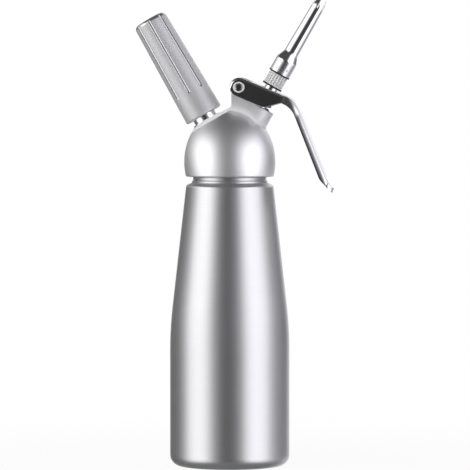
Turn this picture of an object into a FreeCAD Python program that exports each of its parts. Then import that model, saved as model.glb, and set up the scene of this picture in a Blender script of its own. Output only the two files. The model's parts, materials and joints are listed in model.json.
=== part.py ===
import FreeCAD, Part
import math
import os

from FreeCAD import Vector

# A whipped cream dispenser, in millimetres, +Z up, its origin at the centre of the bottle's foot.
# The charger holder leans to -X and the valve with its tip leans to +X, both from one point on
# the bottle's axis. Places along those two axes are distances from that point, and the heights
# of the bottle's shoulder and neck are taken down from it.

# ---- bottle
bottle_radius = 40.0
bottle_wall = 1.5
foot_ring_inner_radius = 25.0
foot_recess = 2.5
foot_recess_corner = 4.0
foot_ring_corner = 3.0
foot_corner_radius = 7.5
straight_height = 92.0
taper_blend_radius = 250.0
shoulder_radius = 29.2
shoulder_corner_radius = 2.2
shoulder_length = 2.4
neck_radius = 24.0
neck_root_radius = 1.6
neck_rise = 2.0
neck_bead_width = 1.3
neck_bead_drop = 1.3
neck_bead_rise = 0.7
neck_groove = 0.4
neck_collar_width = 0.6
neck_collar_length = 2.4
lip_radius = 0.6

# ---- fits
head_thread_clearance = 0.3
holder_thread_clearance = 0.3
tip_thread_clearance = 0.3
adapter_thread_clearance = 0.2
running_clearance = 0.06
seat_gap = 0.02
lever_side_clearance = 0.3
collar_gap = 0.05
gasket_side_gap = 0.1

# ---- small edges
edge_break = 0.4
fine_edge_break = 0.3

# ---- head casting
axes_meet_height = 205.0
axis_tilt = 30.0
head_foot_drop = 11.5
head_gap = 0.3
dome_radius = 30.5
dome_centre_drop = 1.5
dome_rise = 36.3
dome_edge_radius = 1.2
gasket_thickness = 2.5
gasket_width = 3.4
cavity_wall = 9.0
cavity_height = 5.5
cavity_corner_radius = 3.0
boss_radius = 10.0
boss_blend_radius = 3.0
lug_foot_drop = 1.2
lug_foot_radius = 1.2

# ---- charger side of the head
charger_boss_top = 31.1
stub_undercut_radius = 8.3
stub_undercut_length = 3.1
stub_length = 12.4
stub_thread_depth = 0.35
stub_mouth_chamfer = 0.8
gas_passage_radius = 1.6
check_valve_radius = 3.4
check_valve_length = 5.0
check_valve_lip_radius = 2.2
check_valve_taper = 2.0
check_valve_wall = 1.6
check_valve_slit = 0.3
check_valve_end_gap = 0.1
carrier_radius = 5.0
carrier_length = 8.0
carrier_vent_radius = 0.5
carrier_vent_offset = 1.8
carrier_vent_count = 3
carrier_slot = 1.2
pin_gasket_thickness = 2.6
pin_gasket_bore_radius = 2.2
pin_shank_radius = 1.0
pin_reach = 2.4
pin_point_length = 1.4
pin_foot_inset = 0.5

# ---- charger and its holder
charger_radius = 8.9
charger_length = 65.5
charger_wall = 1.8
charger_neck_radius = 4.1
charger_neck_length = 6.0
charger_shoulder_length = 8.5
charger_neck_corner = 3.0
charger_shoulder_corner = 7.0
charger_end_corner = 7.6
charger_seal_thickness = 0.6
charger_seal_inset = 0.9
charger_seal_depth = 0.2
pierced_hole_clearance = 0.2
charger_clearance = 0.35
charger_neck_depth = 4.4
holder_mouth_radius = 13.05
holder_end_radius = 11.45
holder_rim_gap = 3.3
holder_thread_length = 10.5
holder_end_wall = 3.8
holder_end_corner = 3.2
holder_bore_corner = 3.0
holder_rim_radius = 1.2
groove_count = 8
groove_width = 2.6
groove_depth = 0.75
groove_start = 17.2

# ---- valve side of the head
valve_boss_top = 41.0
stem_radius = 4.5
stem_bore_radius = 2.4
stem_foot_radius = 6.6
stem_foot_thickness = 2.0
stem_end_chamfer = 0.5
valve_seat_place = 17.0
valve_seal_thickness = 2.0
valve_seal_overlap = 0.6
valve_chamber_radius = 8.2
inlet_pocket_radius = 5.6
inlet_pocket_length = 7.0
inlet_hole_radius = 1.4
inlet_hole_count = 4
ring_places = (27.6, 33.4)
ring_wire_radius = 0.7
ring_groove_width = 1.9
spring_recess_depth = 4.0
spring_wire_radius = 0.5
spring_radius = 6.3
spring_recess_clearance = 0.6
closed_half_turns = 2
open_half_turns = 7
closed_turn_gap = 0.06
collar_radius = 8.5
collar_thickness = 1.5
collar_hub_radius = 5.6
collar_hub_length = 1.6

# ---- lever
pivot_offset = 18.15
pivot_height = 45.65
lug_radius = 5.2
sheet = 2.0
lever_eye_radius = 6.4
web_tilt = 7.3
web_start = 5.6
bend_reach = 39.5
bend_radius = 24.0
bend_under_radius = 14.0
handle_slope = 46.0
curl_reach = 79.4
curl_slope = 24.0
curl_length = 5.0
curl_radius = 20.0
curl_under_radius = 10.0
flange_depth = 5.4
flange_end_depth = 3.75
plate_heel_length = 9.4
plate_heel_radius = 6.0
plate_rise_level = 1.5
plate_rise_radius = 2.6
plate_edge_radius = 0.5
plate_top_radius = 1.8
plan_shoulder_lead = 9.5
plan_shoulder_radius = 10.0
plan_waist_lag = 3.5
plan_waist_radius = 14.0
handle_half_width = 9.6
handle_end_half_width = 8.4
handle_corner_radius = 5.0
crown_arc_radius = 22.0
crown_lead = 4.0
crown_lead_radius = 30.0
crown_lift = 0.6
stem_slot_radius = 5.6
stem_slot_shift = 0.6
dimple_radius = 1.8
dimple_height = 1.2
dimple_side = 7.3
pivot_pin_radius = 2.5
pivot_head_radius = 3.9
pivot_head_thickness = 1.1
pivot_dish_radius = 2.5
pivot_dish_depth = 0.6
pivot_dish_slope = 0.6
clip_radius = 4.6
clip_thickness = 0.8
clip_groove_depth = 0.5
clip_mouth = 3.2
pin_end_length = 1.0

# ---- nozzle adapter and tip
adapter_place = 57.4
adapter_radius = 6.6
adapter_height = 8.7
adapter_rib_count = 20
adapter_rib_radius = 0.55
adapter_edge = 0.4
adapter_washer_radius = 7.0
adapter_washer_thickness = 1.0
stem_end_inset = 1.3
stem_end_clearance = 0.5
spigot_radius = 5.6
spigot_length = 8.6
spigot_bore_radius = 3.4
tip_gasket_radius = 7.5
tip_gasket_thickness = 0.9
tip_skirt_radius = 7.3
tip_skirt_height = 9.5
tip_shoulder_height = 5.4
tip_tube_radius = 5.0
tip_wall = 1.0
tip_taper_end_radius = 4.35
tip_taper_length = 37.5
tip_nose_length = 7.5
tip_mouth_radius = 1.3
tip_slit_count = 6
tip_slit_width = 1.1
tip_slit_length = 10.0
tip_skirt_corner = 3.5
tip_tube_corner = 6.0
tip_nose_corner = 9.0
tip_thread_runout = 0.5
tip_mark_radius = 0.8
tip_mark_depth = 0.7
tip_mark_height = 3.7
tip_mark_angle = 29.0

# ---- places that follow from the sizes
neck_height = axes_meet_height + neck_rise
neck_collar_top = axes_meet_height - head_foot_drop
neck_bead_top = neck_collar_top - neck_collar_length
neck_root_height = neck_bead_top - neck_bead_rise
shoulder_height = neck_root_height - shoulder_length
neck_bead_radius = neck_radius + neck_bead_width
neck_collar_radius = neck_radius + neck_collar_width
dome_centre_height = axes_meet_height - dome_centre_drop
slab_half_thickness = boss_radius
head_bottom = neck_collar_top + head_gap
gasket_top = neck_height + gasket_thickness
cavity_top = gasket_top + cavity_height
socket_radius = neck_radius + head_thread_clearance
charger_stub_top = charger_boss_top + stub_length
charger_tip_place = charger_stub_top - charger_neck_depth
pin_gasket_place = charger_tip_place - pin_gasket_thickness
carrier_place = pin_gasket_place - carrier_length
check_valve_place = carrier_place - check_valve_length
holder_bore_radius = charger_radius + charger_clearance
stub_radius = holder_bore_radius + stub_thread_depth
holder_rim_place = charger_boss_top + holder_rim_gap
holder_seat_place = charger_tip_place + charger_length + seat_gap
stem_foot_place = valve_seat_place - valve_seal_thickness - stem_foot_thickness
spring_seat_place = valve_boss_top - spring_recess_depth
web_bottom = lever_eye_radius - sheet
dimple_centre = web_bottom - dimple_height + dimple_radius
lever_inner_half = slab_half_thickness + lever_side_clearance
lever_half = lever_inner_half + sheet
lever_reach = curl_reach + curl_length
adapter_top = adapter_place + adapter_height
stem_end_place = adapter_top - stem_end_inset
tip_place = adapter_top + tip_gasket_thickness

tilt_sine = math.sin(math.radians(web_tilt))
tilt_cosine = math.cos(math.radians(web_tilt))
dimple_reach = (pivot_offset + dimple_centre * tilt_sine) / tilt_cosine
dimple_rise = dimple_reach * tilt_sine + dimple_centre * tilt_cosine
collar_top = pivot_height + dimple_rise - dimple_radius - collar_gap
collar_bottom = collar_top - collar_thickness

UP = Vector(0, 0, 1)
ACROSS = Vector(0, 1, 0)
ORIGIN = Vector(0, 0, 0)
FAR = 200.0
OVERRUN = 1.0


# ---- outlines: corners are (across, up) or (across, up, corner radius)
def corner_point(corner):
    return Vector(corner[0], 0, corner[1])


def corner_radius(corner):
    return corner[2] if len(corner) > 2 else 0.0


def path_edges(corners, closed=False):
    """The lines and tangent arcs of a path through the corners."""
    count = len(corners)
    cuts = []
    for index, corner in enumerate(corners):
        point = corner_point(corner)
        radius = corner_radius(corner)
        if radius == 0 or (not closed and index in (0, count - 1)):
            cuts.append((point, None, point))
            continue
        arriving = (point - corner_point(corners[index - 1])).normalize()
        leaving = (corner_point(corners[(index + 1) % count]) - point).normalize()
        half_turn = arriving.getAngle(leaving) / 2
        length = radius * math.tan(half_turn)
        inward = (leaving - arriving).normalize()
        middle = point + inward * (radius / math.cos(half_turn) - radius)
        cuts.append((point - arriving * length, middle, point + leaving * length))
    edges = []
    for index, (start, middle, end) in enumerate(cuts):
        if index > 0 and cuts[index - 1][2].distanceToPoint(start) > 1e-6:
            edges.append(Part.LineSegment(cuts[index - 1][2], start).toShape())
        if middle is not None:
            edges.append(Part.Arc(start, middle, end).toShape())
    if closed and cuts[-1][2].distanceToPoint(cuts[0][0]) > 1e-6:
        edges.append(Part.LineSegment(cuts[-1][2], cuts[0][0]).toShape())
    return edges


def outline_face(corners):
    return Part.Face(Part.Wire(path_edges(corners, closed=True)))


def offset_path(corners, distance):
    """The open path moved to its left by the distance, with its arcs kept concentric."""
    points = [corner_point(corner) for corner in corners]
    directions = [(b - a).normalize() for a, b in zip(points, points[1:])]
    lefts = [Vector(-d.z, 0, d.x) for d in directions]
    moved = []
    for index, (point, corner) in enumerate(zip(points, corners)):
        before = lefts[max(index - 1, 0)]
        after = lefts[min(index, len(lefts) - 1)]
        place = point + (before + after) * (distance / (1 + before.dot(after)))
        radius = corner_radius(corner)
        if radius > 0:
            turn = before.z * after.x - before.x * after.z
            radius = max(radius + math.copysign(distance, turn), 0.0)
        moved.append((place.x, place.z, radius))
    return moved


def turned(corners):
    """The body of revolution of a closed (radius, height) outline."""
    return outline_face(corners).revolve(ORIGIN, UP, 360)


def cylinder(radius, low, high):
    return Part.makeCylinder(radius, high - low, Vector(0, 0, low))


def ring(outer_radius, inner_radius, low, high):
    bore = cylinder(inner_radius, low - OVERRUN, high + OVERRUN)
    return cylinder(outer_radius, low, high).cut(bore)


def ball(radius, place):
    return Part.makeSphere(radius, place)


def torus(radius, wire_radius, height):
    return Part.makeTorus(radius, wire_radius, Vector(0, 0, height))


def around(shape, count, first_angle=0.0):
    """Copies of the shape, evenly spaced round the Z axis."""
    copies = []
    for index in range(count):
        copy = shape.copy()
        copy.rotate(ORIGIN, UP, first_angle + index * 360.0 / count)
        copies.append(copy)
    return copies


def on_axis(shape, tilt):
    """The shape with its Z axis leant from the vertical, through the point where the axes meet."""
    placed = shape.copy()
    placed.rotate(ORIGIN, ACROSS, tilt)
    placed.translate(Vector(0, 0, axes_meet_height))
    return placed


def on_valve_axis(shape):
    return on_axis(shape, axis_tilt)


def on_charger_axis(shape):
    return on_axis(shape, -axis_tilt)


def valve_point(across, along):
    """A point of the XZ plane, given across and along the valve axis."""
    turn = FreeCAD.Rotation(ACROSS, axis_tilt)
    return turn.multVec(Vector(across, 0, along)) + Vector(0, 0, axes_meet_height)


def charger_point(across, along):
    turn = FreeCAD.Rotation(ACROSS, -axis_tilt)
    return turn.multVec(Vector(across, 0, along)) + Vector(0, 0, axes_meet_height)


def on_lever(shape):
    """The shape moved from the lever's frame, its pivot at the origin and its web along +X."""
    placed = shape.copy()
    placed.rotate(ORIGIN, ACROSS, axis_tilt - web_tilt)
    placed.translate(valve_point(-pivot_offset, pivot_height))
    return placed


# ---- bottle
def make_bottle():
    skin = [
        (0, foot_recess),
        (foot_ring_inner_radius, foot_recess, foot_recess_corner),
        (foot_ring_inner_radius + foot_recess, 0, foot_ring_corner),
        (bottle_radius, 0, foot_corner_radius),
        (bottle_radius, straight_height, taper_blend_radius),
        (shoulder_radius, shoulder_height, shoulder_corner_radius),
        (neck_radius, neck_root_height, neck_root_radius),
        (neck_radius, neck_height),
    ]
    inside = offset_path(skin, bottle_wall)
    lip = [skin.pop()[:2] + (lip_radius,), inside.pop()[:2] + (lip_radius,)]
    shell = turned(skin + lip + inside[::-1])
    root = neck_radius - bottle_wall / 2
    bead_low = neck_root_height - neck_bead_drop
    groove_top = neck_bead_top + neck_groove
    collar = turned(
        [
            (root, bead_low),
            (neck_bead_radius, bead_low),
            (neck_bead_radius, neck_bead_top, edge_break),
            (neck_radius + seat_gap, neck_bead_top),
            (neck_radius + seat_gap, groove_top),
            (neck_collar_radius, groove_top, fine_edge_break),
            (neck_collar_radius, neck_collar_top, fine_edge_break),
            (root, neck_collar_top),
        ]
    )
    return shell.fuse(collar).removeSplitter()


def make_head_gasket():
    outer = socket_radius - gasket_side_gap
    inner = socket_radius - gasket_width
    return ring(outer, inner, neck_height + seat_gap, gasket_top - seat_gap)


# ---- head
def make_dome():
    """The domed shell of the head, the lower part of a half ellipsoid and its cylinder-like rim."""
    centre = Vector(0, 0, dome_centre_height)
    apex = centre + Vector(0, 0, dome_rise)
    ellipse = Part.Ellipse(apex, centre + Vector(dome_radius, 0, 0), centre)
    drop = math.asin((dome_centre_height - head_bottom) / dome_rise)
    arc = Part.ArcOfEllipse(ellipse, 0, math.pi / 2 + drop)
    rim = arc.EndPoint
    foot = Vector(0, 0, head_bottom)
    edges = [
        arc.toShape(),
        Part.LineSegment(rim, foot).toShape(),
        Part.LineSegment(foot, apex).toShape(),
    ]
    dome = Part.Face(Part.Wire(edges)).revolve(ORIGIN, UP, 360)
    rims = [e for e in dome.Edges if e.BoundBox.ZMax < head_bottom + 0.01 and e.Length > dome_radius]
    return dome.makeFillet(dome_edge_radius, rims)


def slab_shoulder():
    """The slab's upper line on the charger's side, from the boss to the foot of the pivot lug."""
    start = charger_point(0, charger_boss_top)
    lug_left = valve_point(-pivot_offset, pivot_height).x - lug_radius
    rise = (lug_left - start.x) * math.tan(math.radians(axis_tilt))
    return start, Vector(lug_left, 0, start.z + rise - lug_foot_drop)


def make_slab():
    """The upright slab between the two bosses, with the pivot lug on top."""
    pivot = valve_point(-pivot_offset, pivot_height)
    start, lug_foot = slab_shoulder()
    lug_left = Vector(lug_foot.x, 0, pivot.z)
    lug_right = valve_point(-pivot_offset + lug_radius, pivot_height)
    turn = math.radians(180 - (180 - axis_tilt) / 2)
    crown = pivot + Vector(math.cos(turn) * lug_radius, 0, math.sin(turn) * lug_radius)
    notch = valve_point(-pivot_offset + lug_radius, valve_boss_top)
    valve_edge = valve_point(0, valve_boss_top)
    left_side = [
        (0, axes_meet_height),
        (start.x, start.z),
        (lug_foot.x, lug_foot.z, lug_foot_radius),
        (lug_left.x, lug_left.z),
    ]
    right_side = [
        (lug_right.x, lug_right.z),
        (notch.x, notch.z),
        (valve_edge.x, valve_edge.z),
        (0, axes_meet_height),
    ]
    top = [Part.Arc(lug_left, crown, lug_right).toShape()]
    face = Part.Face(Part.Wire(path_edges(left_side) + top + path_edges(right_side)))
    face.translate(Vector(0, -slab_half_thickness, 0))
    return face.extrude(Vector(0, 2 * slab_half_thickness, 0))


def make_stub():
    """The threaded stub on the charger boss, with the undercut at its root."""
    undercut_top = charger_boss_top + stub_undercut_length
    chamfer = stub_mouth_chamfer
    return turned(
        [
            (0, charger_boss_top - stub_undercut_length),
            (stub_undercut_radius, charger_boss_top - stub_undercut_length),
            (stub_undercut_radius, undercut_top),
            (stub_radius - chamfer, undercut_top),
            (stub_radius, undercut_top + chamfer),
            (stub_radius, charger_stub_top - chamfer),
            (stub_radius - chamfer, charger_stub_top),
            (0, charger_stub_top),
        ]
    )


def make_charger_passage():
    """What is drilled along the charger axis: the stub's bore, the valve's pocket and the passage."""
    bore = carrier_radius + running_clearance
    mouth = bore + stub_mouth_chamfer
    return turned(
        [
            (0, 0),
            (gas_passage_radius, 0),
            (gas_passage_radius, check_valve_place),
            (check_valve_radius, check_valve_place),
            (check_valve_radius, carrier_place),
            (bore, carrier_place),
            (bore, charger_stub_top - stub_mouth_chamfer),
            (mouth, charger_stub_top),
            (mouth, charger_stub_top + OVERRUN),
            (0, charger_stub_top + OVERRUN),
        ]
    )


def make_valve_passage():
    """What is drilled along the valve axis: chamber, seat, inlet pocket, guide and spring recess."""
    guide = stem_radius + running_clearance
    pocket_top = valve_seat_place + inlet_pocket_length
    recess = spring_radius + spring_wire_radius + spring_recess_clearance
    return turned(
        [
            (0, 0),
            (valve_chamber_radius, 0),
            (valve_chamber_radius, valve_seat_place),
            (inlet_pocket_radius, valve_seat_place),
            (inlet_pocket_radius, pocket_top),
            (guide, pocket_top),
            (guide, spring_seat_place),
            (recess, spring_seat_place),
            (recess, valve_boss_top + OVERRUN),
            (0, valve_boss_top + OVERRUN),
        ]
    )


def make_head_casting():
    dome = make_dome()
    start, lug_foot = slab_shoulder()
    outside = charger_point(-FAR, charger_boss_top)
    beyond = lug_foot + Vector(FAR, 0, 0)
    above = [outside, start, lug_foot, beyond, beyond + UP * FAR, outside + UP * FAR]
    bump = outline_face([(point.x, point.z) for point in above])
    bump.translate(ACROSS * (-FAR / 2))
    bump = bump.extrude(ACROSS * FAR)
    bosses = on_charger_axis(cylinder(boss_radius, 0, charger_boss_top))
    bosses = bosses.fuse(on_valve_axis(cylinder(boss_radius, 0, valve_boss_top)))
    block = make_slab().fuse(bosses).removeSplitter()
    body = dome.cut(bump).fuse(block).removeSplitter()
    body = blend_block(body)
    body = body.fuse(on_charger_axis(make_stub())).removeSplitter()
    socket = cylinder(socket_radius, head_bottom - OVERRUN, gasket_top)
    cavity_radius = dome_radius - cavity_wall
    ceiling = turned(
        [
            (0, gasket_top - OVERRUN),
            (cavity_radius, gasket_top - OVERRUN),
            (cavity_radius, gasket_top + OVERRUN, OVERRUN),
            (cavity_radius - cavity_height, cavity_top, cavity_corner_radius),
            (0, cavity_top),
        ]
    )
    pivot = valve_point(-pivot_offset, pivot_height)
    hole_start = pivot - ACROSS * 2 * slab_half_thickness
    hole_radius = pivot_pin_radius + running_clearance
    pin_hole = Part.makeCylinder(hole_radius, 4 * slab_half_thickness, hole_start, ACROSS)
    for tool in (
        socket,
        ceiling,
        on_charger_axis(make_charger_passage()),
        on_valve_axis(make_valve_passage()),
        pin_hole,
    ):
        body = body.cut(tool)
    return body.removeSplitter()


def blend_block(body):
    """Rounds the seam where the slab and the valve boss grow out of the dome, up to the other boss."""
    dome_type = "Part::GeomSurfaceOfRevolution"
    dome_faces = [face for face in body.Faces if face.Surface.TypeId == dome_type]
    block_faces = [face for face in body.Faces if face.Surface.TypeId != dome_type]
    seams = []
    for edge in body.Edges:
        on_dome = any(edge.isSame(other) for face in dome_faces for other in face.Edges)
        on_block = any(edge.isSame(other) for face in block_faces for other in face.Edges)
        box = edge.BoundBox
        if on_dome and on_block and box.ZMin > dome_centre_height and box.XMax > 0:
            seams.append(edge)
    return body.makeFillet(boss_blend_radius, seams)


def make_check_valve():
    """A rubber sleeve valve, open towards the stub and slit towards the bottle."""
    low = check_valve_place + check_valve_end_gap
    high = carrier_place - seat_gap
    outer = check_valve_radius - seat_gap
    sleeve = turned(
        [
            (0, low),
            (check_valve_lip_radius, low, edge_break),
            (outer, low + check_valve_taper),
            (outer, high),
            (0, high),
        ]
    )
    hollow_radius = check_valve_radius - check_valve_wall
    hollow = cylinder(hollow_radius, low + check_valve_wall, high + OVERRUN)
    slit = Part.makeBox(hollow_radius, check_valve_slit, 2 * check_valve_wall)
    slit.translate(Vector(-hollow_radius / 2, -check_valve_slit / 2, low - OVERRUN))
    return on_charger_axis(sleeve.cut(hollow).cut(slit))


def make_pin_carrier():
    """The threaded bush in the stub. It holds the pin in its middle and lets gas past it."""
    bore = pin_shank_radius + seat_gap
    bush = ring(carrier_radius, bore, carrier_place, pin_gasket_place - seat_gap)
    vent = cylinder(carrier_vent_radius, carrier_place - OVERRUN, pin_gasket_place + OVERRUN)
    vent.translate(Vector(carrier_vent_offset, 0, 0))
    for hole in around(vent, carrier_vent_count):
        bush = bush.cut(hole)
    slot = Part.makeBox(4 * carrier_radius, carrier_slot, carrier_slot)
    slot.translate(Vector(-2 * carrier_radius, -carrier_slot / 2, pin_gasket_place - carrier_slot))
    return on_charger_axis(bush.cut(slot))


def make_piercing_pin():
    point_start = charger_tip_place + pin_reach - pin_point_length
    pin = turned(
        [
            (0, carrier_place + pin_foot_inset),
            (pin_shank_radius, carrier_place + pin_foot_inset),
            (pin_shank_radius, point_start),
            (0, point_start + pin_point_length),
        ]
    )
    return on_charger_axis(pin)


def make_pin_gasket():
    high = charger_tip_place - seat_gap
    return on_charger_axis(ring(carrier_radius, pin_gasket_bore_radius, pin_gasket_place, high))


# ---- charger and holder
def make_gas_charger():
    neck_top = charger_tip_place + charger_neck_length
    body_start = neck_top + charger_shoulder_length
    end = charger_tip_place + charger_length
    seat = charger_tip_place + charger_seal_inset
    skin = [
        (charger_neck_radius, charger_tip_place),
        (charger_neck_radius, neck_top, charger_neck_corner),
        (charger_radius, body_start, charger_shoulder_corner),
        (charger_radius, end, charger_end_corner),
        (0, end),
    ]
    inside = offset_path(skin, charger_wall)
    bore = charger_neck_radius - charger_wall
    steel = turned([(0, charger_tip_place)] + skin)
    hollow = turned([(0, seat), (bore, seat)] + inside[1:])
    mouth = cylinder(bore, charger_tip_place - OVERRUN, seat + OVERRUN)
    return on_charger_axis(steel.cut(hollow).cut(mouth))


def make_charger_seal():
    """The closing disc in the charger's neck, with the hole that the pin has made."""
    low = charger_tip_place + charger_seal_depth
    disc_radius = charger_neck_radius - charger_wall - seat_gap
    hole_radius = pin_shank_radius + pierced_hole_clearance
    return on_charger_axis(ring(disc_radius, hole_radius, low, low + charger_seal_thickness))


def make_charger_holder():
    """A cup that tapers to its closed end, with flutes that follow the taper."""
    end = holder_seat_place + holder_end_wall
    sleeve = turned(
        [
            (0, holder_rim_place),
            (holder_mouth_radius, holder_rim_place, holder_rim_radius),
            (holder_end_radius, end, holder_end_corner),
            (0, end),
        ]
    )
    thread_bore = stub_radius + holder_thread_clearance
    thread_top = holder_rim_place + holder_thread_length
    bore = turned(
        [
            (0, holder_rim_place - OVERRUN),
            (thread_bore, holder_rim_place - OVERRUN),
            (thread_bore, thread_top),
            (holder_bore_radius, thread_top),
            (holder_bore_radius, holder_seat_place, holder_bore_corner),
            (0, holder_seat_place),
        ]
    )
    sleeve = sleeve.cut(bore)
    taper = (holder_mouth_radius - holder_end_radius) / (end - holder_rim_place)
    start = holder_rim_place + groove_start + groove_width / 2
    start_radius = holder_mouth_radius - (start - holder_rim_place) * taper
    ball_radius = (groove_width**2 / 4 + groove_depth**2) / (2 * groove_depth)
    cutter = cylinder(ball_radius, 0, end).fuse(ball(ball_radius, ORIGIN))
    cutter.rotate(ORIGIN, Vector(1, 0, 0), -math.degrees(math.atan(taper)))
    cutter.translate(Vector(0, groove_depth - start_radius - ball_radius, start))
    for groove in around(cutter, groove_count):
        sleeve = sleeve.cut(groove)
    return on_charger_axis(sleeve)


# ---- valve
def make_valve_stem():
    stem = turned(
        [
            (0, stem_foot_place),
            (stem_foot_radius, stem_foot_place, edge_break),
            (stem_foot_radius, stem_foot_place + stem_foot_thickness, fine_edge_break),
            (stem_radius, stem_foot_place + stem_foot_thickness),
            (stem_radius, stem_end_place - stem_end_chamfer),
            (stem_radius - stem_end_chamfer, stem_end_place),
            (0, stem_end_place),
        ]
    )
    stem = stem.cut(cylinder(stem_bore_radius, valve_seat_place, stem_end_place + OVERRUN))
    inlet_place = valve_seat_place + inlet_pocket_length / 2
    hole_start = Vector(0, 0, inlet_place)
    hole = Part.makeCylinder(inlet_hole_radius, 2 * stem_radius, hole_start, Vector(1, 0, 0))
    for inlet in around(hole, inlet_hole_count, 180.0 / inlet_hole_count):
        stem = stem.cut(inlet)
    groove_radius = stem_radius + running_clearance - 2 * ring_wire_radius - seat_gap
    for place in ring_places:
        low = place - ring_groove_width / 2
        stem = stem.cut(ring(2 * stem_radius, groove_radius, low, low + ring_groove_width))
    return on_valve_axis(stem)


def make_valve_seal():
    inner = stem_radius + seat_gap
    low = stem_foot_place + stem_foot_thickness
    high = valve_seat_place - seat_gap
    return on_valve_axis(ring(stem_foot_radius + valve_seal_overlap, inner, low, high))


def make_stem_o_rings():
    middle = stem_radius + running_clearance - ring_wire_radius - seat_gap / 2
    rings = [torus(middle, ring_wire_radius, place) for place in ring_places]
    return on_valve_axis(Part.makeCompound(rings))


def make_valve_spring():
    """Half turns of round wire, each leaning the other way from the last, so that they meet in line."""
    low = spring_seat_place + spring_wire_radius
    high = collar_bottom - spring_wire_radius
    closed_rise = spring_wire_radius + closed_turn_gap / 2
    open_rise = (high - low - 2 * closed_half_turns * closed_rise) / open_half_turns
    closed = [closed_rise] * closed_half_turns
    halves = []
    height = low
    for index, rise in enumerate(closed + [open_rise] * open_half_turns + closed):
        radius = math.hypot(spring_radius, rise / 2)
        half = Part.makeTorus(radius, spring_wire_radius, ORIGIN, UP, 0, 360, 180)
        half.rotate(ORIGIN, ACROSS, math.degrees(math.atan2(rise / 2, spring_radius)))
        half.rotate(ORIGIN, UP, 180 * (index % 2))
        half.translate(Vector(0, 0, height + rise / 2))
        halves.append(half)
        height += rise
    return on_valve_axis(halves[0].fuse(halves[1:]).removeSplitter())


def make_spring_collar():
    collar = turned(
        [
            (stem_radius + seat_gap, collar_bottom - collar_hub_length),
            (collar_hub_radius, collar_bottom - collar_hub_length, fine_edge_break),
            (collar_hub_radius, collar_bottom),
            (collar_radius, collar_bottom, fine_edge_break),
            (collar_radius, collar_top, edge_break),
            (stem_radius + seat_gap, collar_top),
        ]
    )
    return on_valve_axis(collar)


# ---- lever, drawn in its own frame: the pivot at the origin, the web along +X
def lever_top_path(lift=0.0):
    """The lever's upper line from above the pivot to the handle's end, the handle lifted a little."""
    handle = math.tan(math.radians(handle_slope))
    curl = math.tan(math.radians(curl_slope))
    curl_height = lever_eye_radius - (curl_reach - bend_reach) * handle
    end_height = curl_height - curl_length * curl
    path = [
        (0, lever_eye_radius),
        (bend_reach, lever_eye_radius, bend_radius),
        (curl_reach, curl_height, curl_radius),
        (lever_reach, end_height),
    ]
    lifted = offset_path(path, lift)
    shift = (lifted[1][1] - lever_eye_radius) / handle
    corner = (lifted[1][0] + shift, lever_eye_radius, bend_radius)
    return [path[0], corner] + lifted[2:]


def lever_under_path():
    """The flanges' lower edge under the handle, from its end back to the web, less deep at the end."""
    handle = math.tan(math.radians(handle_slope))
    curl = math.tan(math.radians(curl_slope))
    bend = offset_path(lever_top_path(), -flange_depth)[1]
    end = offset_path(lever_top_path(), -flange_end_depth)[3]
    reach = (end[1] - bend[1] + end[0] * curl - bend[0] * handle) / (curl - handle)
    height = bend[1] - (reach - bend[0]) * handle
    return [
        (lever_reach, end[1] - (lever_reach - end[0]) * curl),
        (reach, height, curl_under_radius),
        (bend[0], bend[1], bend_under_radius),
    ]


def lever_side_outline():
    """The side view: pivot eye, web, bend and handle on top, and the flanges' edge below."""
    eye = lever_eye_radius
    under = lever_under_path()
    bend_start = under[-1][0] - bend_under_radius * math.tan(math.radians(handle_slope / 2))
    rise_reach = bend_start - plate_rise_level
    return (
        [(-eye, eye, eye)]
        + lever_top_path(crown_lift)[1:]
        + under
        + [
            (rise_reach, eye - flange_depth, plate_rise_radius),
            (rise_reach - plate_heel_length, -eye, plate_heel_radius),
            (-eye, -eye, eye),
        ]
    )


def lever_round_outline():
    """A side view with the same upper line and nothing cut away below it."""
    eye = lever_eye_radius
    below = -FAR / 2
    top = lever_top_path(crown_lift)[1:]
    return [(-eye, eye, eye)] + top + [(top[-1][0], below), (-eye, below)]


def lever_hollow_outline():
    """The side view of the channel's inside, open below."""
    start = -2 * lever_eye_radius
    ceiling = offset_path(lever_top_path(crown_lift), -sheet)[1:]
    below = -FAR / 2
    return [(start, web_bottom)] + ceiling + [(ceiling[-1][0], below), (start, below)]


def lever_pivot_mouth():
    """The opening between the side plates round the pivot lug, where there is no web."""
    start = Vector(-2 * lever_eye_radius, -lever_inner_half, -FAR / 2)
    return Part.makeBox(web_start - start.x, 2 * lever_inner_half, FAR, start)


def lever_plan(inset):
    """A tall prism of the lever's plan, wide at the side plates and narrow at the handle."""
    half = lever_half - inset
    end = handle_end_half_width - inset
    corner = handle_corner_radius - inset
    side = [
        (-2 * lever_eye_radius, half),
        (bend_reach - plan_shoulder_lead, half, plan_shoulder_radius),
        (bend_reach + plan_waist_lag, handle_half_width - inset, plan_waist_radius),
        (lever_reach - inset, end, corner),
    ]
    other = [(point[0], -point[1]) + point[2:] for point in reversed(side)]
    face = outline_face(side + other)
    face.rotate(ORIGIN, Vector(1, 0, 0), -90)
    face.translate(Vector(0, 0, -FAR / 2))
    return face.extrude(UP * FAR)


def lever_prism(outline):
    """The side view pushed right across the lever."""
    face = outline_face(outline)
    face.translate(ACROSS * -lever_half)
    return face.extrude(ACROSS * (2 * lever_half))


def rounded_prism(outline, radius):
    """The same with its side edges rounded."""
    body = lever_prism(outline)
    rims = [edge for edge in body.Edges if edge.BoundBox.YLength < 0.01]
    return body.makeFillet(radius, rims)


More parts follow.
